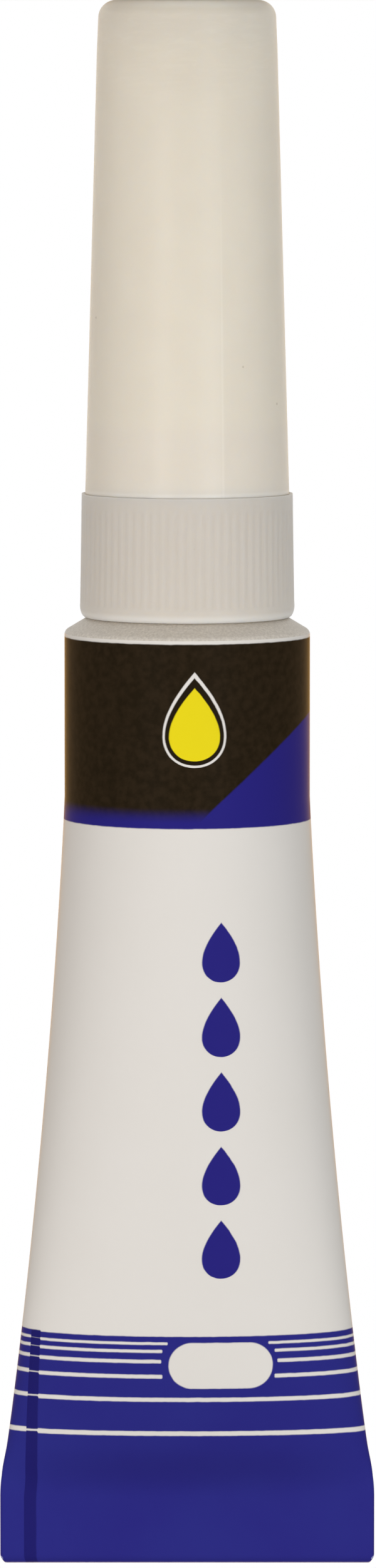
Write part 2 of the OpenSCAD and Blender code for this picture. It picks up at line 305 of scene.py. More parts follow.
def press_ribs(nozzle, low, high):
    """Presses every second pair of columns of the collar's side inwards, which leaves the ribs."""
    shape = bmesh.from_edit_mesh(nozzle.data)
    for edge in shape.edges:
        edge.select_set(False)
    step = 2 * math.pi / NOZZLE_SIDES
    for vert in shape.verts:
        column = round(math.atan2(vert.co.y, vert.co.x) / step)
        radius = math.hypot(vert.co.x, vert.co.y) / MM
        on_side = low < vert.co.z / MM < high and radius > (SPIGOT_R + COLLAR_TOP_R) / 2
        vert.select_set(on_side and column % 4 in (0, 1))
    bmesh.update_edit_mesh(nozzle.data)
    share = 1 - RIB_DEPTH / COLLAR_FOOT_R
    bpy.ops.transform.resize(value=(share, share, 1), center_override=(0, 0, 0))


def ellipse_girth(a, b):
    """Length round an ellipse of two half widths, by the usual close formula."""
    return math.pi * (3 * (a + b) - math.sqrt((3 * a + b) * (a + 3 * b)))


def flattened(height):
    """How far the sleeve has been flattened at a height: 0 where it is round, 1 at the crimp."""
    return min(1, max(0, (height - ROUND_END) / (CRIMP - ROUND_END)))


def belly_curve(share):
    """Half depth of the belly where it has been flattened by a share."""
    return STRIP_HALF + (SLEEVE_R - STRIP_HALF) * math.sqrt(1 - share ** BELLY_POWER)


def half_depth(height):
    """Half depth of the sleeve: the belly's curve, eased into the flat strip over its last stretch."""
    ease_start = ROUND_END + SOFT_CLOSE * (CRIMP - ROUND_END)
    if height <= ease_start:
        return belly_curve(flattened(height))
    run = FLAT_START - ease_start
    t = min(1, (height - ease_start) / run)
    step = 0.001
    slope = (belly_curve(SOFT_CLOSE) - belly_curve(SOFT_CLOSE - step)) / step * run / (CRIMP - ROUND_END)
    start = belly_curve(SOFT_CLOSE)
    fall = 3 * t * t - 2 * t ** 3
    return start + (STRIP_HALF - start) * fall + slope * t * (1 - t) ** 2


def half_width(height):
    """Half width that keeps the girth: a little over an ellipse's, as the sides are pressed to an edge."""
    depth = half_depth(height)
    share = flattened(height)
    girth = GIRTH + (ellipse_girth(TAIL_HALF, STRIP_HALF) - GIRTH) * share ** 3
    low, high = SLEEVE_R / 2, TAIL_HALF * 1.05
    for _ in range(BISECTIONS):
        middle = (low + high) / 2
        low, high = (middle, high) if ellipse_girth(middle, depth) < girth else (low, middle)
    lens = 1 + LENS_WIDEN * (1 - (2 * share - 1) ** 6)
    return min(low * lens, TAIL_HALF)


def square_up(vert, wide, deep, share):
    """Moves a point of a ring by a share towards a flat strip with round ends."""
    past_flat = max(0, abs(vert.co.x) / MM - (wide - deep)) / deep
    strip_y = math.copysign(deep * math.sqrt(max(0, 1 - past_flat ** 2)), vert.co.y) * MM
    vert.co.y += (strip_y - vert.co.y) * share


def shoulder_height(radius):
    """Height of the shoulder's outside at a radius."""
    return RIM - (SLEEVE_R - radius) * math.tan(SHOULDER_LEAN)


def tube_rings():
    """Rings (part, half width, half depth, height) of the tube up to the flat strip."""
    span = FLAT_START - ROUND_END
    belly = [FLAT_START - span * (1 - i / BELLY_RINGS) ** 2 for i in range(BELLY_RINGS + 1)]
    inside_belly = [h for h in reversed(belly[::INSIDE_STEP]) if h < CRIMP]
    drop = SHOULDER_T / math.cos(SHOULDER_LEAN)
    inner_r = SLEEVE_R - WALL
    inside = [
        (inner_r, shoulder_height(inner_r) + drop), (NECK_BORE_R, shoulder_height(NECK_BORE_R) + drop),
        (NECK_BORE_R, NECK_END + NECK_BORE_CHAMFER), (NECK_BORE_R + NECK_BORE_CHAMFER, NECK_END)]
    neck_start = NECK_END + NECK_CHAMFER
    neck_run = shoulder_height(NECK_R) - neck_start
    neck = [(NECK_R - NECK_CHAMFER, NECK_END)]
    neck += [(NECK_R, neck_start + neck_run * i / NECK_RINGS) for i in range(NECK_RINGS + 1)]
    rim_turn = 90 - math.degrees(SHOULDER_LEAN)
    rim_centre = RIM + RIM_ROUND * math.tan(math.radians(rim_turn / 2))
    rim = arc(SLEEVE_R - RIM_ROUND, rim_centre, RIM_ROUND, -rim_turn, 0, steps=RIM_RINGS)
    shoulder = [(r, shoulder_height(r)) for r in SHOULDER_RINGS] + rim[:-2]
    ring_gap = (ROUND_END - rim_centre) / SLEEVE_RINGS
    sleeve = rim[-2:] + [(SLEEVE_R, rim_centre + ring_gap * i) for i in range(1, SLEEVE_RINGS)]
    rings = [("inside", half_width(h) - WALL, half_depth(h) - WALL, h) for h in inside_belly]
    rings += [("inside", r, r, h) for r, h in inside]
    rings += [("neck", r, r, h) for r, h in neck]
    rings += [("shoulder", r, r, h) for r, h in shoulder]
    rings += [("sleeve", r, r, h) for r, h in sleeve]
    rings += [("sleeve", half_width(h), half_depth(h), h) for h in belly]
    return rings


def fold_turn(centre_y, centre_h, steps, corners):
    """Carries the strip round a fold by half a turn; without a window, rotate turns the other way."""
    for i in range(steps):
        bpy.ops.mesh.extrude_region_move(TRANSFORM_OT_translate={"value": (0, 0, 0)})
        bpy.ops.transform.rotate(
            value=math.pi / steps, orient_axis="X", center_override=(0, centre_y * MM, centre_h * MM))
        before, after = [1 - corners / TAIL_HALF * math.sin(math.pi * k / steps) ** 2 for k in (i, i + 1)]
        bpy.ops.transform.resize(value=(after / before, 1, 1), center_override=(0, 0, 0))


def strip_run(rise, steps):
    """Carries the strip straight on, down or up."""
    for _ in range(steps):
        bpy.ops.mesh.extrude_region_move(TRANSFORM_OT_translate={"value": (0, 0, rise / steps * MM)})


def model_tube():
    """Tube, a chain of rings down the inside, out over the neck and up the outside to the flat strip."""
    rings = tube_rings()
    _, wide, deep, height = rings[0]
    tube = first_ring("printed_tube", SLEEVE_SIDES, 1, height, "NGON")
    bpy.ops.transform.resize(value=(wide, deep, 1), center_override=(0, 0, height * MM))
    for (_, a0, b0, h0), (_, a1, b1, h1) in zip(rings, rings[1:]):
        next_ring(h1 - h0, a1 / a0, b1 / b0, h1)
    return tube, rings


def finish_tail(tube, rings):
    """Squares up the last ring, then runs the strip round the double fold and presses its edge flat."""
    _, wide, deep, height = rings[-1]
    shape = bmesh.from_edit_mesh(tube.data)
    for vert in shape.verts:
        if vert.select:
            square_up(vert, wide, deep, 1)
    bmesh.update_edit_mesh(tube.data)
    strip_run(FOLD_TURN - height, STRIP_RINGS)
    fold_turn(FOLD_PITCH, FOLD_TURN, TURN_RINGS, CORNER_ROUND)
    strip_run(FOLD_FOOT - FOLD_TURN, FLAP_RINGS)
    fold_turn(1.5 * FOLD_PITCH, FOLD_FOOT, FOOT_RINGS, 0)
    strip_run(FOLD_END - FOLD_FOOT, FLAP_RINGS)
    shape = bmesh.from_edit_mesh(tube.data)
    for edge in shape.edges:
        edge.select_set(False)
    for vert in shape.verts:
        vert.select_set(vert.co.z > LENGTH * MM)
    bmesh.update_edit_mesh(tube.data)
    bpy.ops.transform.resize(value=(1, 1, 0), center_override=(0, 0, LENGTH * MM))


def ring_points(tube, number):
    """The points of one ring of the tube."""
    return tube.data.vertices[number * SLEEVE_SIDES:(number + 1) * SLEEVE_SIDES]


def ease_belly(tube, rings):
    """Squares up the belly's last rings by degrees, so that they run into the strip."""
    for number, (part, wide, deep, _) in enumerate(rings[:-1]):
        share = (STRIP_HALF / deep) ** 2
        if part == "sleeve" and share > LEAST_EASE:
            for vert in ring_points(tube, number):
                square_up(vert, wide, deep, share)


def cut_thread(tube, rings):
    """Rolls a rounded screw thread into the neck."""
    for number, (part, wide, _, height) in enumerate(rings):
        if part == "neck" and wide == NECK_R:
            room = min(height - NECK_END, shoulder_height(NECK_R) - height)
            ease = min(1, room / THREAD_EASE)
            for vert in ring_points(tube, number):
                turn = math.atan2(vert.co.y, vert.co.x) / (2 * math.pi)
                wave = 0.5 - 0.5 * math.cos(2 * math.pi * (turn + height / THREAD_PITCH))
                share = 1 - THREAD_DEPTH / NECK_R * wave * max(0, ease)
                vert.co.x *= share
                vert.co.y *= share


def wrap_print(tube):
    """Maps the print: U goes round, 0.5 in front and rising to the photo's right; V goes along the rings."""
    count = len(tube.data.vertices) // SLEEVE_SIDES
    round_share = []
    for ring in range(count):
        row = [vert.co for vert in ring_points(tube, ring)]
        run = [0]
        for here, there in zip(row, row[1:] + row[:1]):
            run.append(run[-1] + (there - here).length)
        round_share.append([1 - length / run[-1] for length in run])
    uv = tube.data.uv_layers[0]
    uv.name = "Print"
    for face in tube.data.polygons:
        columns = [i % SLEEVE_SIDES for i in face.vertices]
        at_seam = 0 in columns and SLEEVE_SIDES - 1 in columns and len(columns) == 4
        for loop, vertex, column in zip(face.loop_indices, face.vertices, columns):
            ring = vertex // SLEEVE_SIDES
            across = round_share[ring][SLEEVE_SIDES if at_seam and column == 0 else column]
            uv.data[loop].uv = (across, ring / (count - 1))


def paint_parts(tube, rings):
    """Gives the inside, the neck and shoulder, and the printed sleeve and tail their own materials."""
    enamel, metal, lacquer = 0, 1, 2
    slots = {"inside": lacquer, "neck": metal, "shoulder": metal, "sleeve": enamel}
    for face in tube.data.polygons:
        ring = max(face.vertices) // SLEEVE_SIDES
        face.material_index = slots[rings[ring][0]] if ring < len(rings) else enamel


cap = model_cap()
nozzle = model_nozzle()
tube, rings = model_tube()
finish_tail(tube, rings)
close_piece(tube, TUBE_SHARP)
ease_belly(tube, rings)
cut_thread(tube, rings)
wrap_print(tube)


# Materials
def colour(text):
    """An sRGB hex colour as linear red, green, blue and alpha."""
    parts = [int(text[i:i + 2], 16) / 255 for i in (1, 3, 5)]
    linear = [p / 12.92 if p <= 0.04045 else ((p + 0.055) / 1.055) ** 2.4 for p in parts]
    return (*linear, 1)


def add(tree, kind, inputs, out=0, **settings):
    """Adds a shader node with its settings, fills or links its inputs, and returns one of its outputs."""
    made = tree.nodes.new("ShaderNode" + kind)
    for name, value in settings.items():
        setattr(made, name, value)
    for socket, value in inputs.items():
        if isinstance(value, bpy.types.NodeSocket):
            tree.links.new(value, made.inputs[socket])
        else:
            made.inputs[socket].default_value = value
    return made.outputs[out]


def start_material(name):
    """A new material, its tree and its shader's inputs."""
    material = bpy.data.materials.new(name)
    material.use_nodes = True
    return material, material.node_tree, material.node_tree.nodes["Principled BSDF"].inputs


def between(tree, measure, low, high, soft):
    """A stripe: 1 where a measure lies between two values, with soft edges."""
    half = (high - low) / 2
    off = add(tree, "Math", {0: measure, 1: (low + high) / 2}, operation="SUBTRACT")
    off = add(tree, "Math", {0: off}, operation="ABSOLUTE")
    return add(tree, "MapRange", {0: off, 1: half - soft, 2: half + soft, 3: 1, 4: 0})


def drop_depth(tree, across, rise, half):
    """How deep a point lies inside a drop: rise goes from 0 at its round foot to 1 at its tip."""
    widest = math.sqrt(1 / 3) * 2 / 3
    size = add(tree, "Math", {0: rise}, operation="ABSOLUTE")
    root = add(tree, "Math", {0: size}, operation="INVERSE_SQRT")
    root = add(tree, "Math", {0: root, 1: rise}, operation="MULTIPLY")
    taper = add(tree, "Math", {0: 1.0, 1: rise}, operation="SUBTRACT")
    shape = add(tree, "Math", {0: root, 1: taper}, operation="MULTIPLY")
    off = add(tree, "Math", {0: across}, operation="ABSOLUTE")
    off = add(tree, "Math", {0: off, 1: -1.0}, operation="MULTIPLY")
    return add(tree, "Math", {0: shape, 1: half / widest, 2: off}, operation="MULTIPLY_ADD")


# Print, in millimetres above the tail's edge and across from the front's middle, towards the photo's right
BAND_LOW = 39.15
BAND_HIGH = 48.62
GLOW_LOW = 39.4
GLOW_HIGH = 40.25
WEDGE_START = 38.95
WEDGE_RISE = 0.914
WEDGE_SOFT = 0.06
FIELD_TOP = 12.5
LONG_STRIPES = [(9.07, 0.11), (7.2, 0.125)]
SHORT_STRIPES = [(12.12, 0.07, -1.0, 4.26), (11.7, 0.08, -1.28, 4.6), (11.15, 0.095, -1.34, 4.75),
                 (10.33, 0.1, -1.28, 4.6)]
PILL_MIDDLE = 1.77
PILL_HEIGHT = 10.92
PILL_HALF_L = 2.72
PILL_HALF_H = 1.24
LAP_LEFT = -8.62
LAP_RIGHT = -7.95
LAP_SHIFT = 0.06
LAP_THIN = 0.075
BACK_START = 10
EDGE_SOFT = 0.03
MARK_FOOT = 42.3
MARK_L = 4.9
MARK_HALF = 1.65
MARK_ACROSS = 0.4
MARK_RINGS = (0, 0.12, 0.34)
MARK_TIP_INSET = 2.4
DROP_FOOT = 15.6
DROP_PITCH = 3.9
DROP_COUNT = 5
DROP_L = 3.1
DROP_HALF = 1.0
WANDER = 0.04
WORN_EDGE = 0.05
WORN_LOW = 0.3
WORN_HIGH = 0.9
WORN_INNER = 0.5
WORN_OUTER = 0.1
CHIP_FROM = 0.47
CHIP_TO = 0.53
CHIP_COVER = 0.9
RUB_COVER = 0.7

WHITE_ENAMEL = colour("#DCD9D7")
DULL_WHITE = colour("#D8D5D1")
BLACK_INK = colour("#221B11")
BROWN_INK = colour("#2B2217")
BLUE_INK = colour("#28247A")
DEEP_BLUE = colour("#2C2F82")
LAP_INK = colour("#201E67")
YELLOW_INK = colour("#E3D21E")
WORN_INK = colour("#9DA1CE")
BARE_EDGE = colour("#522A4C")


def band_print(tree, ground, place, across, height, mottle):
    """Dark band below the rim, with a blue glow along its foot, a blue corner and a plain drop."""
    inside = between(tree, height, BAND_LOW, BAND_HIGH, EDGE_SOFT)
    black = add(tree, "Mix", {0: mottle, 6: BLACK_INK, 7: BROWN_INK}, out=2, data_type="RGBA")
    glow = add(tree, "MapRange", {0: height, 1: GLOW_LOW, 2: GLOW_HIGH, 3: 1, 4: 0},
               interpolation_type="SMOOTHSTEP")
    right = add(tree, "SeparateXYZ", {0: place}, out="X")
    edge = add(tree, "Math", {0: right, 1: -WEDGE_RISE / MM, 2: WEDGE_START}, operation="MULTIPLY_ADD")
    past = add(tree, "Math", {0: edge, 1: height}, operation="SUBTRACT")
    wedge = add(tree, "MapRange", {0: past, 1: -WEDGE_SOFT, 2: WEDGE_SOFT, 3: 0, 4: 1})
    blue = add(tree, "Math", {0: glow, 1: wedge}, operation="MAXIMUM")
    inks = add(tree, "Mix", {0: blue, 6: black, 7: BLUE_INK}, out=2, data_type="RGBA")
    side = add(tree, "Math", {0: across, 1: MARK_ACROSS}, operation="SUBTRACT")
    for inset, ink in zip(MARK_RINGS, (WHITE_ENAMEL, BLACK_INK, YELLOW_INK)):
        foot = MARK_FOOT + inset
        tip = MARK_FOOT + MARK_L - MARK_TIP_INSET * inset
        rise = add(tree, "MapRange", {0: height, 1: foot, 2: tip, 3: 0, 4: 1}, clamp=False)
        depth = drop_depth(tree, side, rise, MARK_HALF - inset)
        mask = add(tree, "MapRange", {0: depth, 1: -EDGE_SOFT, 2: EDGE_SOFT, 3: 0, 4: 1})
        inks = add(tree, "Mix", {0: mask, 6: inks, 7: ink}, out=2, data_type="RGBA")
    return add(tree, "Mix", {0: inside, 6: ground, 7: inks}, out=2, data_type="RGBA")


def drop_column(tree, ground, across, height):
    """A column of plain blue drops down the white front."""
    side = add(tree, "Math", {0: across, 1: PILL_MIDDLE}, operation="SUBTRACT")
    second = DROP_FOOT + DROP_PITCH
    count = add(tree, "MapRange", {0: height, 1: DROP_FOOT, 2: second, 3: 0, 4: 1}, clamp=False)
    share = add(tree, "Math", {0: count}, operation="FRACT")
    rise = add(tree, "Math", {0: share, 1: DROP_PITCH / DROP_L}, operation="MULTIPLY")
    depth = drop_depth(tree, side, rise, DROP_HALF)
    mask = add(tree, "MapRange", {0: depth, 1: -EDGE_SOFT, 2: EDGE_SOFT, 3: 0, 4: 1})
    held = between(tree, count, 0, DROP_COUNT, 0.001)
    shown = add(tree, "Math", {0: mask, 1: held}, operation="MULTIPLY")
    return add(tree, "Mix", {0: shown, 6: ground, 7: BLUE_INK}, out=2, data_type="RGBA")


def tail_print(tree, ground, across, height, cloud):
    """Blue tail with white stripes, a bare white pill, and the darker lap where the print meets askew."""
    lap = add(tree, "MapRange", {0: across, 1: LAP_RIGHT - EDGE_SOFT, 2: LAP_RIGHT + EDGE_SOFT, 3: 1, 4: 0})
    shift = add(tree, "MapRange", {0: across, 1: BACK_START, 2: LAP_LEFT + GIRTH, 3: 0, 4: -LAP_SHIFT})
    shift = add(tree, "Math", {0: lap, 1: -LAP_SHIFT / 2, 2: shift}, operation="MULTIPLY_ADD")
    level = add(tree, "Math", {0: height, 1: shift}, operation="ADD")
    blue = add(tree, "Mix", {0: cloud, 6: BLUE_INK, 7: DEEP_BLUE}, out=2, data_type="RGBA")
    blue = add(tree, "Mix", {0: lap, 6: blue, 7: LAP_INK}, out=2, data_type="RGBA")
    side = add(tree, "Math", {0: across, 1: PILL_MIDDLE}, operation="SUBTRACT")
    side = add(tree, "Math", {0: side}, operation="ABSOLUTE")
    side = add(tree, "Math", {0: side, 1: PILL_HALF_L - PILL_HALF_H}, operation="SUBTRACT")
    side = add(tree, "Math", {0: side, 1: 0.0}, operation="MAXIMUM")
    rise = add(tree, "Math", {0: height, 1: PILL_HEIGHT}, operation="SUBTRACT")
    apart = add(tree, "CombineXYZ", {0: side, 1: rise})
    reach = add(tree, "VectorMath", {0: apart}, out="Value", operation="LENGTH")
    off = add(tree, "Math", {0: reach, 1: PILL_HALF_H}, operation="SUBTRACT")
    white = add(tree, "MapRange", {0: off, 1: -EDGE_SOFT, 2: EDGE_SOFT, 3: 1, 4: 0})
    for middle, half, *gap in LONG_STRIPES + SHORT_STRIPES:
        off = add(tree, "Math", {0: level, 1: middle}, operation="SUBTRACT")
        off = add(tree, "Math", {0: off}, operation="ABSOLUTE")
        off = add(tree, "Math", {0: lap, 1: LAP_THIN, 2: off}, operation="MULTIPLY_ADD")
        line = add(tree, "MapRange", {0: off, 1: half - EDGE_SOFT, 2: half + EDGE_SOFT, 3: 1, 4: 0})
        if gap:
            hidden = between(tree, across, *gap, EDGE_SOFT)
            line = add(tree, "Math", {0: line, 1: hidden}, operation="SUBTRACT", use_clamp=True)
        white = add(tree, "Math", {0: white, 1: line}, operation="MAXIMUM")
    inks = add(tree, "Mix", {0: white, 6: blue, 7: ground}, out=2, data_type="RGBA")
    top = add(tree, "Math", {0: lap, 1: -LAP_SHIFT / 2, 2: level}, operation="MULTIPLY_ADD")
    field = add(tree, "MapRange", {0: top, 1: FIELD_TOP - EDGE_SOFT, 2: FIELD_TOP + EDGE_SOFT, 3: 1, 4: 0})
    return add(tree, "Mix", {0: field, 6: ground, 7: inks}, out=2, data_type="RGBA")


def worn_tail(tree, ground, place, height):
    """Ink chipped at the tail's two corners and rubbed through along its folded edge."""
    sideways = add(tree, "SeparateXYZ", {0: place}, out="X")
    sideways = add(tree, "Math", {0: sideways}, operation="ABSOLUTE")
    inner = (TAIL_HALF - WORN_INNER) * MM
    outer = (TAIL_HALF - WORN_OUTER) * MM
    corner = add(tree, "MapRange", {0: sideways, 1: inner, 2: outer, 3: 0, 4: 1})
    low = add(tree, "MapRange", {0: height, 1: WORN_LOW, 2: WORN_HIGH, 3: 1, 4: 0})
    zone = add(tree, "Math", {0: corner, 1: low}, operation="MULTIPLY")
    patches = add(tree, "TexNoise", {"Vector": place, "Scale": 1 / (0.5 * MM), "Detail": 3})
    chance = add(tree, "Math", {0: zone, 1: patches}, operation="MULTIPLY")
    chips = add(tree, "MapRange", {0: chance, 1: CHIP_FROM, 2: CHIP_TO, 3: 0, 4: CHIP_COVER})
    ground = add(tree, "Mix", {0: chips, 6: ground, 7: WORN_INK}, out=2, data_type="RGBA")
    above = add(tree, "Math", {0: height, 1: WORN_EDGE}, operation="SUBTRACT")
    rubbed = add(tree, "MapRange", {0: above, 1: -EDGE_SOFT, 2: EDGE_SOFT, 3: RUB_COVER, 4: 0})
    return add(tree, "Mix", {0: rubbed, 6: ground, 7: BARE_EDGE}, out=2, data_type="RGBA")


def printed_enamel():
    """Enamel baked on aluminium, printed and varnished: a smooth, slightly wavy skin, golden at its edges."""
    material, tree, shader = start_material("printed enamel on aluminium")
    uv = add(tree, "UVMap", {}, uv_map="Print")
    place = add(tree, "TexCoord", {}, out="Object")
    round_share = add(tree, "SeparateXYZ", {0: uv}, out="X")
    up = add(tree, "SeparateXYZ", {0: place}, out="Z")
    wander = add(tree, "TexNoise", {"Vector": place, "Scale": 1 / (0.5 * MM), "Detail": 2})
    # Height is above the tail's edge, and across runs from lap to lap; the print's edges wander a little
    height = add(tree, "Math", {0: up, 1: -1 / MM, 2: LENGTH - WANDER / 2}, operation="MULTIPLY_ADD")
    height = add(tree, "Math", {0: wander, 1: WANDER, 2: height}, operation="MULTIPLY_ADD")
    across = add(tree, "Math", {0: round_share, 1: GIRTH, 2: -GIRTH / 2}, operation="MULTIPLY_ADD")
    across = add(tree, "Math", {0: across, 1: LAP_LEFT, 2: LAP_LEFT + GIRTH}, operation="WRAP")
    across = add(tree, "Math", {0: wander, 1: WANDER, 2: across}, operation="MULTIPLY_ADD")
    cloud = add(tree, "TexNoise", {"Vector": place, "Scale": 1 / (6 * MM), "Detail": 3})
    mottle = add(tree, "TexNoise", {"Vector": place, "Scale": 1 / (0.4 * MM), "Detail": 3})
    mottle = add(tree, "MapRange", {0: mottle, 1: 0.35, 2: 0.65})
    ground = add(tree, "Mix", {0: cloud, 6: WHITE_ENAMEL, 7: DULL_WHITE}, out=2, data_type="RGBA")
    ground = drop_column(tree, ground, across, height)
    ground = band_print(tree, ground, place, across, height, mottle)
    ground = tail_print(tree, ground, across, height, cloud)
    ground = worn_tail(tree, ground, place, height)
    tree.links.new(ground, shader["Base Color"])
    uneven = add(tree, "TexNoise", {"Vector": place, "Scale": 1 / (1.2 * MM), "Detail": 4})
    rough = add(tree, "MapRange", {0: uneven, 3: 0.34, 4: 0.46})
    tree.links.new(rough, shader["Roughness"])
    peel = add(tree, "TexNoise", {"Vector": place, "Scale": 1 / (0.35 * MM), "Detail": 2})
    bump = add(tree, "Bump", {"Height": peel, "Strength": 0.25, "Distance": 0.01 * MM})
    tree.links.new(bump, shader["Normal"])
    shader["Specular IOR Level"].default_value = 0.006
    shader["Sheen Weight"].default_value = 0.8
    shader["Sheen Roughness"].default_value = 0.28
    shader["Sheen Tint"].default_value = colour("#E0A01C")
    return material


def bare_aluminium():
    """Aluminium as the press leaves it: a dull grey with a fine grain of bright and dark specks."""
    material, tree, shader = start_material("pressed aluminium")
    place = add(tree, "TexCoord", {}, out="Object")
    speck = add(tree, "TexNoise", {"Vector": place, "Scale": 1 / (0.12 * MM), "Detail": 4})
    shade = add(tree, "MapRange", {0: speck, 1: 0.3, 2: 0.7})
    grey = add(tree, "Mix", {0: shade, 6: colour("#BAB3AA"), 7: colour("#D2CCC3")}, out=2, data_type="RGBA")
    tree.links.new(grey, shader["Base Color"])
    rough = add(tree, "MapRange", {0: speck, 3: 0.5, 4: 0.7})
    tree.links.new(rough, shader["Roughness"])
    bump = add(tree, "Bump", {"Height": speck, "Strength": 0.3, "Distance": 0.01 * MM})
    tree.links.new(bump, shader["Normal"])
    shader["Metallic"].default_value = 0.6
    return material


def gold_lacquer():
    """Thin golden lacquer baked on the inside, which keeps the glue off the metal."""
    material, tree, shader = start_material("gold lacquer on aluminium")
    place = add(tree, "TexCoord", {}, out="Object")
    cloud = add(tree, "TexNoise", {"Vector": place, "Scale": 1 / (1.5 * MM), "Detail": 3})
    gold = add(tree, "Mix", {0: cloud, 6: colour("#C9A85C"), 7: colour("#B8934A")}, out=2, data_type="RGBA")
    tree.links.new(gold, shader["Base Color"])
    shader["Metallic"].default_value = 1
    rough = add(tree, "MapRange", {0: cloud, 3: 0.25, 4: 0.4})
    tree.links.new(rough, shader["Roughness"])
    return material


def mould_marks_and_highlights(tree, base, place, height, mark_and_highlight_paleness):
    """Pale parting lines down the wall and pale flow lines near the closed end; the paleness is partly
    painted highlight.
    """
    # Pale colour of the mould marks, which is partly a painted highlight
    pale = colour("#FFFBF4")
    across = add(tree, "SeparateXYZ", {0: place}, out="X")
    along = add(tree, "SeparateXYZ", {0: place}, out="Y")
    turn = add(tree, "Math", {0: along, 1: across}, operation="ARCTAN2")
    turn = add(tree, "Math", {0: turn, 1: PARTING_TURN}, operation="SUBTRACT")
    turn = add(tree, "Math", {0: turn}, operation="SINE")
    # Pale parting line: partly a painted highlight, a thin streak of reflected light painted into the colour
    line = between(tree, turn, -PARTING_HIGHLIGHT_HALF, PARTING_HIGHLIGHT_HALF, PARTING_HIGHLIGHT_SOFT)
    shown = add(tree, "MapRange", {0: height, 1: PARTING_START, 2: 2 * PARTING_START, 3: 0, 4: mark_and_highlight_paleness})
    line = add(tree, "Math", {0: line, 1: shown}, operation="MULTIPLY")
    base = add(tree, "Mix", {0: line, 6: base, 7: pale}, out=2, data_type="RGBA")
    # Pale flow streaks near the closed end: partly a painted highlight, glints of light painted into the
    # colour
    stretched = add(tree, "Mapping", {"Vector": place, "Scale": (0.8, 0.8, 4)})
    flow_streaks_and_highlight = add(tree, "TexNoise", {"Vector": stretched, "Scale": 1 / MM, "Detail": 4, "Distortion": 0.6})
    flow_streaks_and_highlight = add(tree, "MapRange", {0: flow_streaks_and_highlight, 1: 0.48, 2: 0.7})
    shown = add(tree, "MapRange", {0: height, 1: FLOW_HIGHLIGHT_FULL, 2: FLOW_HIGHLIGHT_END, 3: mark_and_highlight_paleness * FLOW_HIGHLIGHT_SHARE, 4: 0})
    flow_streaks_and_highlight = add(tree, "Math", {0: flow_streaks_and_highlight, 1: shown}, operation="MULTIPLY")
    return add(tree, "Mix", {0: flow_streaks_and_highlight, 6: base, 7: pale}, out=2, data_type="RGBA")


def moulded_polyethylene(name, middle, gloss, zones_and_highlights, mark_and_highlight_paleness, warm_edge):
    """Polyethylene as moulded: milky and waxy, with light scattered under the skin and a soft dull gloss.

    Gloss is the range of its roughness. Each zone is (colour, full, gone): it is laid on full at one height
    and is gone at the other; the paler zones on rounded edges are painted highlights. The paleness of marks
    is how much paler the marks of its mould are, and it is partly painted highlight. Warm edge is the weight
    of a brownish sheen, since the eye looks through more of the plastic along an outline.
    """
    material, tree, shader = start_material(name)
    place = add(tree, "TexCoord", {}, out="Object")
    up = add(tree, "SeparateXYZ", {0: place}, out="Z")
    height = add(tree, "Math", {0: up, 1: 1 / MM}, operation="MULTIPLY")
    base = colour(middle)
    # Zones laid on by height; the paler ones on rounded edges are painted highlights
    for shade, full, gone in zones_and_highlights:
        low, high = min(full, gone), max(full, gone)
        start, end = (1, 0) if full < gone else (0, 1)
        mask = add(tree, "MapRange", {0: height, 1: low, 2: high, 3: start, 4: end},
                   interpolation_type="SMOOTHSTEP")
        base = add(tree, "Mix", {0: mask, 6: base, 7: colour(shade)}, out=2, data_type="RGBA")
    base = mould_marks_and_highlights(tree, base, place, height, mark_and_highlight_paleness)
    cloud = add(tree, "TexNoise", {"Vector": place, "Scale": 1 / (2.5 * MM), "Detail": 3})
    veil = add(tree, "MapRange", {0: cloud, 1: 0.35, 2: 0.75, 3: 0, 4: 0.06})
    base = add(tree, "Mix", {0: veil, 6: base, 7: colour("#B9AE9C")}, out=2, data_type="RGBA")
    dust = add(tree, "TexVoronoi", {"Vector": place, "Scale": 1 / (2.2 * MM)})
    speck = add(tree, "MapRange", {0: dust, 1: 0.015, 2: 0.04, 3: 0.45, 4: 0})
    base = add(tree, "Mix", {0: speck, 6: base, 7: colour("#7A6A52")}, out=2, data_type="RGBA")
    tree.links.new(base, shader["Base Color"])
    rough = add(tree, "MapRange", {0: cloud, 3: gloss[0], 4: gloss[1]})
    tree.links.new(rough, shader["Roughness"])
    skin = add(tree, "TexNoise", {"Vector": place, "Scale": 1 / (0.25 * MM), "Detail": 3})
    bump = add(tree, "Bump", {"Height": skin, "Strength": 0.2, "Distance": 0.01 * MM})
    tree.links.new(bump, shader["Normal"])
    shader["IOR"].default_value = 1.5
    shader["Specular IOR Level"].default_value = 0.08
    shader["Subsurface Weight"].default_value = 0.6
    shader["Subsurface Radius"].default_value = (1.0, 0.85, 0.65)
    shader["Subsurface Scale"].default_value = 1.6 * MM
    shader["Sheen Weight"].default_value = warm_edge
    shader["Sheen Roughness"].default_value = 0.4
    shader["Sheen Tint"].default_value = colour("#AA8A4C")
    return material


def latex():
    """Dried latex: a dull amber rubber, a little cloudy."""
    material, tree, shader = start_material("dried latex")
    place = add(tree, "TexCoord", {}, out="Object")
    cloud = add(tree, "TexNoise", {"Vector": place, "Scale": 1 / (0.8 * MM), "Detail": 3})
    amber = add(tree, "Mix", {0: cloud, 6: colour("#C9A66B"), 7: colour("#B08C52")}, out=2, data_type="RGBA")
    tree.links.new(amber, shader["Base Color"])
    rough = add(tree, "MapRange", {0: cloud, 3: 0.55, 4: 0.75})
    tree.links.new(rough, shader["Roughness"])
    return material


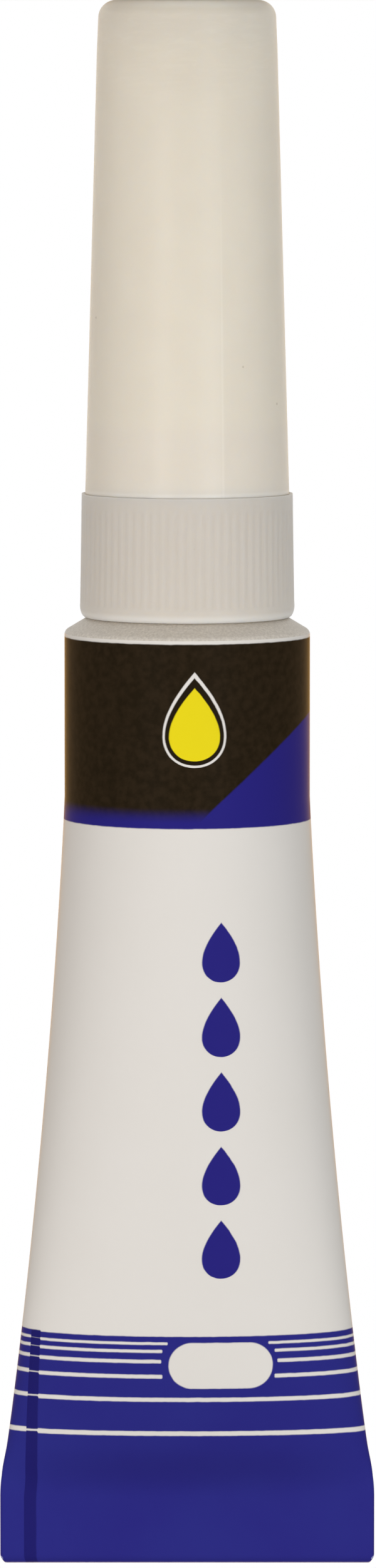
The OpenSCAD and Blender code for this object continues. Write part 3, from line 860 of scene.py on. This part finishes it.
def clear_glue():
    """Clear thin glue: colourless and glossy, with the faintest cloudiness."""
    material, tree, shader = start_material("clear cyanoacrylate")
    place = add(tree, "TexCoord", {}, out="Object")
    cloud = add(tree, "TexNoise", {"Vector": place, "Scale": 1 / (3 * MM), "Detail": 2})
    tint = add(tree, "Mix", {0: cloud, 6: colour("#F4F5EE"), 7: colour("#ECEDE2")}, out=2, data_type="RGBA")
    tree.links.new(tint, shader["Base Color"])
    rough = add(tree, "MapRange", {0: cloud, 3: 0.02, 4: 0.06})
    tree.links.new(rough, shader["Roughness"])
    shader["IOR"].default_value = 1.45
    shader["Transmission Weight"].default_value = 1
    return material


def dress(piece, *materials):
    """Puts materials on a piece in the place of those it has."""
    piece.data.materials.clear()
    for material in materials:
        piece.data.materials.append(material)


# Zones of the cap are its end, the end's edge, its mouth and its rim; the nozzle's are its spout and its
# foot.
# The pale end's edge, rim and foot are painted highlights on their rounded edges; the end's edge also
# lightens the shade where it meets the floor, and the rim the shade of its joint with the collar.
CAP_ZONES_AND_HIGHLIGHTS = [
    ("#DFD9CF", 1.2, 2.8), ("#F6F2EC", 0.05, 0.5), ("#DFD8CE", 22.4, 21.4),
    ("#EAE4DB", CAP_RIM - 0.13, CAP_RIM - 0.33)]
NOZZLE_ZONES_AND_HIGHLIGHTS = [("#D5D0C8", 24.0, 25.3), ("#DEDAD5", COLLAR_FOOT - 0.15, COLLAR_FOOT - 0.5)]

dress(cap, moulded_polyethylene("cream polyethylene", "#E1DACE", (0.19, 0.27), CAP_ZONES_AND_HIGHLIGHTS, 0.12, 0.9))
dress(nozzle, moulded_polyethylene("natural polyethylene", "#CDC7C0", (0.42, 0.52), NOZZLE_ZONES_AND_HIGHLIGHTS, 0, 0))
dress(tube, printed_enamel(), bare_aluminium(), gold_lacquer())
paint_parts(tube, rings)
dress(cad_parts["glue"], clear_glue())
dress(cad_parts["tail_sealant"], latex())

# Each piece moves with its body, and the imported solid in its place is hidden
for piece, node, slot in ((cap, "cap", "cream_polyethylene"), (nozzle, "nozzle", "natural_polyethylene"),
                          (tube, "tube", "enamelled_aluminium")):
    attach(piece, node)
    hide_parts(node)


# Stage: a pale floor, a white surround, and broad soft light from both sides of the camera and from behind
AMBIENT = 0.15
FLOOR_SIZE = 8
FLOOR_WHITE = 0.6
WHITE = (1, 1, 1, 1)
# Name, azimuth, elevation, strength, spread and tint of each light
LIGHTS = [
    ("left_light", 29, 6, 1.36, 22, (1, 0.935, 0.86)),
    ("right_light", -27, 6, 1.36, 22, (0.975, 1, 1)),
    ("back_light", 180, 45, 2.5, 35, (1, 0.985, 0.96))]


def seen_rays(tree):
    """1 for rays by which the camera, a reflection or a refraction sees a thing, and 0 for the rest."""
    seen = add(tree, "LightPath", {}, out="Is Camera Ray")
    for ray in ("Is Glossy Ray", "Is Transmission Ray"):
        also = add(tree, "LightPath", {}, out=ray)
        seen = add(tree, "Math", {0: seen, 1: also}, operation="MAXIMUM")
    return seen


def pale_floor():
    """Pale matt board: where it is seen it is paler than it is lit, and it keeps its shadows."""
    bpy.ops.object.select_all(action="DESELECT")
    bpy.ops.mesh.primitive_plane_add(size=FLOOR_SIZE, location=(0, 0, 0))
    floor = bpy.context.active_object
    floor.name = "floor"
    material, tree, shader = start_material("pale matt board")
    place = add(tree, "TexCoord", {}, out="Object")
    cloud = add(tree, "TexNoise", {"Vector": place, "Scale": 1 / (40 * MM), "Detail": 2})
    pale = add(tree, "Mix", {0: cloud, 6: colour("#F4F3F1"), 7: colour("#EFEEEC")}, out=2, data_type="RGBA")
    tree.links.new(pale, shader["Base Color"])
    shader["Roughness"].default_value = 0.9
    share = add(tree, "Math", {0: seen_rays(tree), 1: FLOOR_WHITE}, operation="MULTIPLY")
    white = add(tree, "Emission", {"Color": WHITE, "Strength": 1})
    board = tree.nodes["Principled BSDF"].outputs[0]
    mixed = add(tree, "MixShader", {0: share, 1: board, 2: white})
    tree.links.new(mixed, tree.nodes["Material Output"].inputs["Surface"])
    dress(floor, material)


def white_surround():
    """White where the camera, a reflection or a refraction sees it, and a lower even light elsewhere."""
    world = bpy.data.worlds.new("white surround")
    bpy.context.scene.world = world
    world.use_nodes = True
    tree = world.node_tree
    strength = add(tree, "MapRange", {0: seen_rays(tree), 3: AMBIENT, 4: 1})
    background = tree.nodes["Background"].inputs
    background["Color"].default_value = WHITE
    tree.links.new(strength, background["Strength"])


def soft_light(name, azimuth, elevation, strength, spread, tint):
    """A broad far light; its azimuth goes from the camera's side towards the photo's left."""
    lamp = bpy.data.lights.new(name, "SUN")
    lamp.energy = strength
    lamp.angle = math.radians(spread)
    lamp.color = tint
    holder = bpy.data.objects.new(name, lamp)
    bpy.context.scene.collection.objects.link(holder)
    turn, lift = math.radians(azimuth), math.radians(elevation)
    holder.location = (math.sin(turn) * math.cos(lift), -math.cos(turn) * math.cos(lift), math.sin(lift))
    holder.rotation_euler = (-holder.location).to_track_quat("-Z", "Y").to_euler()


pale_floor()
white_surround()
for light in LIGHTS:
    soft_light(*light)

# Camera: its lens and sensor, its distance from the axis, its height and sideways place, and where it aims
LENS = 200
SENSOR = 36
CAMERA_AWAY = 450
CAMERA_UP = 0.02
CAMERA_SIDE = -0.04
AIM_UP = 40.5


def photo_camera():
    """Camera level with the cap's end and rolled over, so that the cap is at the top as in the photo."""
    view = bpy.data.cameras.new("photo_camera")
    view.sensor_width = SENSOR
    view.lens = LENS
    camera = bpy.data.objects.new("photo_camera", view)
    bpy.context.scene.collection.objects.link(camera)
    camera.location = (CAMERA_SIDE * MM, -CAMERA_AWAY * MM, CAMERA_UP * MM)
    aim = Vector((CAMERA_SIDE * MM, 0, AIM_UP * MM)) - camera.location
    roll = Quaternion((0, 0, 1), math.pi)
    camera.rotation_euler = (aim.to_track_quat("-Z", "Y") @ roll).to_euler()
    bpy.context.scene.camera = camera


photo_camera()
bpy.context.scene.view_settings.view_transform = "Standard"
